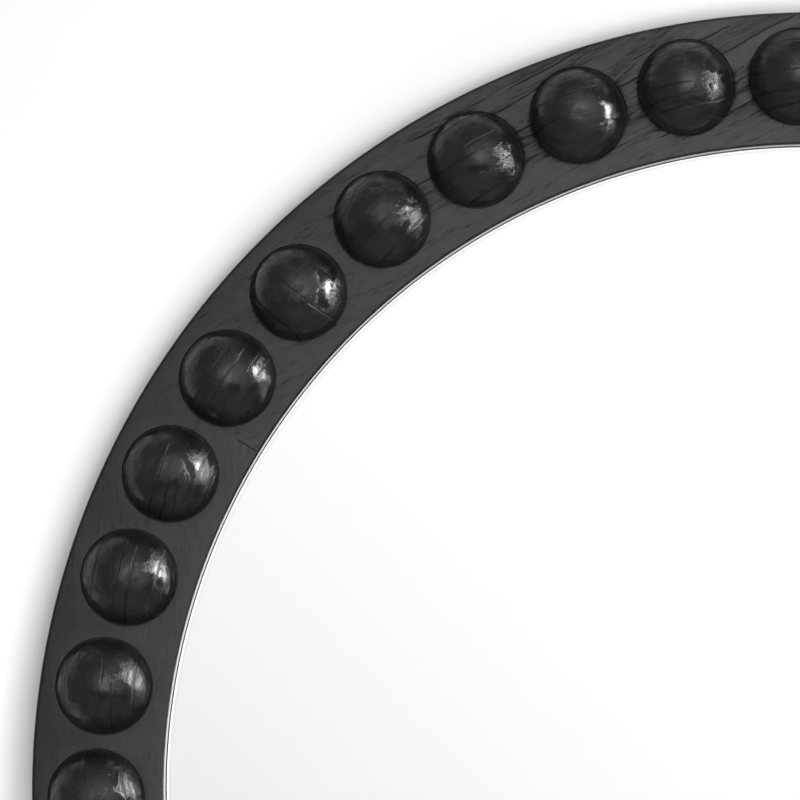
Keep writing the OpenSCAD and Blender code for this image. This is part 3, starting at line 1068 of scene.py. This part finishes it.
ring_zinc = zinc("bright zinc wire", 0.15, 0.000008)
for side, place in pivots.items():
    laid = copy_piece(wire, f"piece_{side}_hanger_ring", place @ Matrix.Rotation(ring_lean, 4, "X"))
    dress(laid, ring_zinc, "ring_steel", f"{side}_ring", f"{side}_hanger_ring")
throw_away(wire)

# Four pan-head screws hold the straps. Each head is domed, with a cross recess, and sits flat on
# the sheet of its strap.
pan_head_radius = 0.0038
pan_head_height = 0.0022
pan_crown = pan_head_height / 2
pan_screw_radius = 0.002
pan_root_radius = 0.00155
pan_pitch = 0.0016
pan_turns = 5
pan_length = 0.014
crown_steps = 4
pan_screw = start_turned("pan_screw", pan_head_radius - pan_crown, 32)
radius = pan_head_radius - pan_crown
for step in range(1, crown_steps + 1):
    turn = math.pi / 2 * step / crown_steps
    last = math.pi / 2 * (step - 1) / crown_steps
    wider = pan_head_radius - pan_crown * (1 - math.sin(turn))
    grow(pan_crown * (math.cos(last) - math.cos(turn)), radius, wider)
    radius = wider
grow(pan_head_height - pan_crown, pan_head_radius, pan_head_radius)
bpy.ops.mesh.inset(thickness=pan_head_radius - pan_screw_radius)
grow(pan_length - screw_tip - pan_turns * pan_pitch, pan_screw_radius, pan_screw_radius)
cut_thread(pan_turns, pan_pitch, pan_screw_radius, pan_root_radius)
grow(screw_tip, pan_screw_radius, screw_point_radius)
finish_screw(pan_screw, pan_head_radius)
strap_face = Matrix.Translation((0, back_y - pivot_y + strap_thickness + pan_head_height, 0))
pan_screws = []
for place in pivots.values():
    for drop in hanger_screw_drops:
        driven = place @ strap_face @ Matrix.Translation((0, 0, -drop))
        driven = driven @ Matrix.Rotation(chance.uniform(0, math.pi), 4, "Y")
        pan_screws.append(copy_piece(pan_screw, "screw_driven", driven))
throw_away(pan_screw)
dress(join_all(pan_screws, "piece_hanger_screws"), screw_zinc, "zinc_screws", "mirror", "hanger_screws")

# Four round rubber bumpers are glued to the back of the frame and keep it parallel to the wall. The
# face that meets the wall has a rounded edge and a shallow dish.
bumper_radius = 0.006
bumper_round = 0.001
bumper_dish = 0.0004
bumper_land_radius = (ledge_radius + ring_radius) / 2
bumper_angles = [math.radians(angle) for angle in (58, 122, 238, 302)]
bumper = add_peg("bumper", bumper_radius, -back_y, 40, (0, back_y / 2, 0), facing_room)
open_up(bumper)
pick("EDGE", lambda p: p.y > -near)
bpy.ops.mesh.bevel(offset=bumper_round, segments=4, profile=0.5, affect="EDGES")
pick("FACE", lambda p: p.y > -near)
bpy.ops.mesh.inset(thickness=bumper_radius / 3)
bpy.ops.mesh.inset(thickness=bumper_round / 2, depth=-bumper_dish)
close_up()
smooth(bumper, 40)
bumpers = [
    copy_piece(bumper, "bumper_glued", Matrix.Translation(on_face(angle, bumper_land_radius)))
    for angle in bumper_angles
]
throw_away(bumper)
bumper_rubber = rubber("bumper rubber", 0.016)
dress(join_all(bumpers, "piece_wall_bumpers"), bumper_rubber, "bumper_rubber", "mirror", "wall_bumpers")

# The wall is a pale painted plane that the bumpers touch, and the floor lies well below the mirror.
# Both are clear from behind, so that the back of the mirror can be seen.
wall_size = 6.0
floor_drop = 1.45
wall_gap = 0.0001


def pale_ground(name, camera_tone, tone, washed_out):
    """Pale paint that takes shadows, shown paler to the camera alone, and clear from behind."""
    material, tree = new_material(name)[:2]
    tree.nodes.clear()
    ray = add_node(tree, "ShaderNodeLightPath", {})
    colour = blend_colours(ray.outputs["Is Camera Ray"], grey(tone), grey(camera_tone))
    paint = add_node(tree, "ShaderNodeBsdfDiffuse", {"Color": colour})
    clear = add_node(tree, "ShaderNodeBsdfTransparent", {})
    side = add_node(tree, "ShaderNodeNewGeometry", {})
    clearness = times(ray.outputs["Is Camera Ray"], washed_out)
    clearness = larger(side.outputs["Backfacing"], clearness)
    mix = add_node(tree, "ShaderNodeMixShader", {0: clearness, 1: paint.outputs[0], 2: clear.outputs[0]})
    add_node(tree, "ShaderNodeOutputMaterial", {"Surface": mix.outputs[0]})
    return material


deselect_all()
bpy.ops.mesh.primitive_plane_add(
    size=wall_size, location=(0, wall_gap, wall_size / 2 - floor_drop), rotation=facing_room
)
wall = name_piece("wall")
wall.data.materials.append(pale_ground("wall paint", 0.84, 0.55, 0.0))
wall.visible_shadow = False
wall.visible_diffuse = False
deselect_all()
bpy.ops.mesh.primitive_plane_add(size=wall_size, location=(0, -wall_size / 2, -floor_drop))
floor = name_piece("floor")
floor.data.materials.append(pale_ground("floor paint", 1.0, 0.3, 0.65))
floor.visible_shadow = False

# The room is plain and white. Its wall ahead of the mirror is lit a little to the right, which shows
# in the studs, and the mirror glass shows it brighter towards the upper right.
room = bpy.data.worlds.new("room")
bpy.context.scene.world = room
room.use_nodes = True
tree = room.node_tree
tree.nodes.clear()
ray = add_node(tree, "ShaderNodeLightPath", {})
direction = add_node(tree, "ShaderNodeTexCoord", {}).outputs["Generated"]


def toward(azimuth, elevation):
    """The way out from the mirror: azimuth 0 is straight ahead of it and 90 to its right."""
    a = math.radians(azimuth)
    e = math.radians(elevation)
    return Vector((math.sin(a) * math.cos(e), -math.cos(a) * math.cos(e), math.sin(e)))


def facing(way):
    """How much of the direction that a ray comes from lies along one way."""
    return vector_math("DOT_PRODUCT", direction, way, "Value")


def glow(azimuth, elevation, reach, core):
    """A soft glow on the room's wall: 1 within the core's angle and 0 beyond its reach."""
    rim = math.cos(math.radians(reach))
    return fade(facing(toward(azimuth, elevation)), rim, math.cos(math.radians(core)))


shown = fade(parts_of(direction)["Z"], -0.6, 0.3, 0.12, 0.25)
shown = plus(shown, glow(20, 8, 52, 6))
shown = plus(shown, times(glow(9, 7, 23, 2), 1.3))
in_glass = fade(facing((1.0, 0.0, 1.0)), -0.62, 0.25, 0.31, 1.25)


def mix_values(share, first, second):
    inputs = {"Factor": share, "A": first, "B": second}
    return add_node(tree_of(share), "ShaderNodeMix", inputs).outputs[0]


shown = mix_values(ray.outputs["Is Singular Ray"], shown, in_glass)
mirrored = larger(ray.outputs["Is Glossy Ray"], ray.outputs["Is Transmission Ray"])
strength = mix_values(mirrored, times(shown, 0.15), shown)
strength = mix_values(ray.outputs["Is Camera Ray"], strength, 1.0)
light = add_node(tree, "ShaderNodeBackground", {"Color": (1, 1, 1, 1), "Strength": strength})
add_node(tree, "ShaderNodeOutputWorld", {"Surface": light.outputs[0]})


# Four wide soft lamps light the mirror: two stand before it, one far to its right makes the lights on
# the studs, and one gives back what a floor would. A fifth lights the back for the views from behind.
def soft_light(name, azimuth, elevation, distance, width, height, power):
    """An oblong area lamp that faces the mirror, in metres and watts."""
    lamp = bpy.data.lights.new(name, "AREA")
    lamp.shape = "RECTANGLE"
    lamp.size = width
    lamp.size_y = height
    lamp.energy = power
    holder = bpy.data.objects.new(name, lamp)
    bpy.context.scene.collection.objects.link(holder)
    away = toward(azimuth, elevation)
    holder.location = away * distance
    holder.rotation_euler = away.to_track_quat("Z", "Y").to_euler()
    return holder


key = soft_light("key light", -4, -3.5, 2.25, 0.93, 0.62, 26)
tall = soft_light("tall window", 20.6, 14, 2.25, 0.83, 2.86, 45)
window = soft_light("window", 81, 18, 2.0, 0.8, 0.95, 84)
window.visible_diffuse = False
returned = soft_light("light off the floor", -75, -50, 2.5, 1.2, 1.2, 38)
for lamp in (key, tall, returned):
    lamp.visible_glossy = False
    lamp.visible_transmission = False
soft_light("light behind the wall", 200, 25, 2.2, 1.6, 1.6, 45)

# The camera stands before the mirror's middle, three metres from its face, and looks at the upper
# left part of the ring.
camera_distance = 3.0
camera_left = 0.050
camera_up = 0.05375
aim_left = math.radians(3.552)
aim_up = math.radians(3.258)
camera_roll = math.radians(0.123)
camera_data = bpy.data.cameras.new("camera")
camera_data.sensor_width = 36.0
camera_data.lens = 233.47
camera_data.clip_start = 0.1
camera_data.clip_end = 100.0
camera = bpy.data.objects.new("camera", camera_data)
bpy.context.scene.collection.objects.link(camera)
camera.location = (-camera_left, face_y - camera_distance, camera_up)
turned = (
    Matrix.Rotation(aim_left, 3, "Z")
    @ Matrix.Rotation(math.pi / 2 + aim_up, 3, "X")
    @ Matrix.Rotation(camera_roll, 3, "Z")
)
camera.rotation_euler = turned.to_euler()
bpy.context.scene.camera = camera
bpy.context.scene.view_settings.view_transform = "Standard"
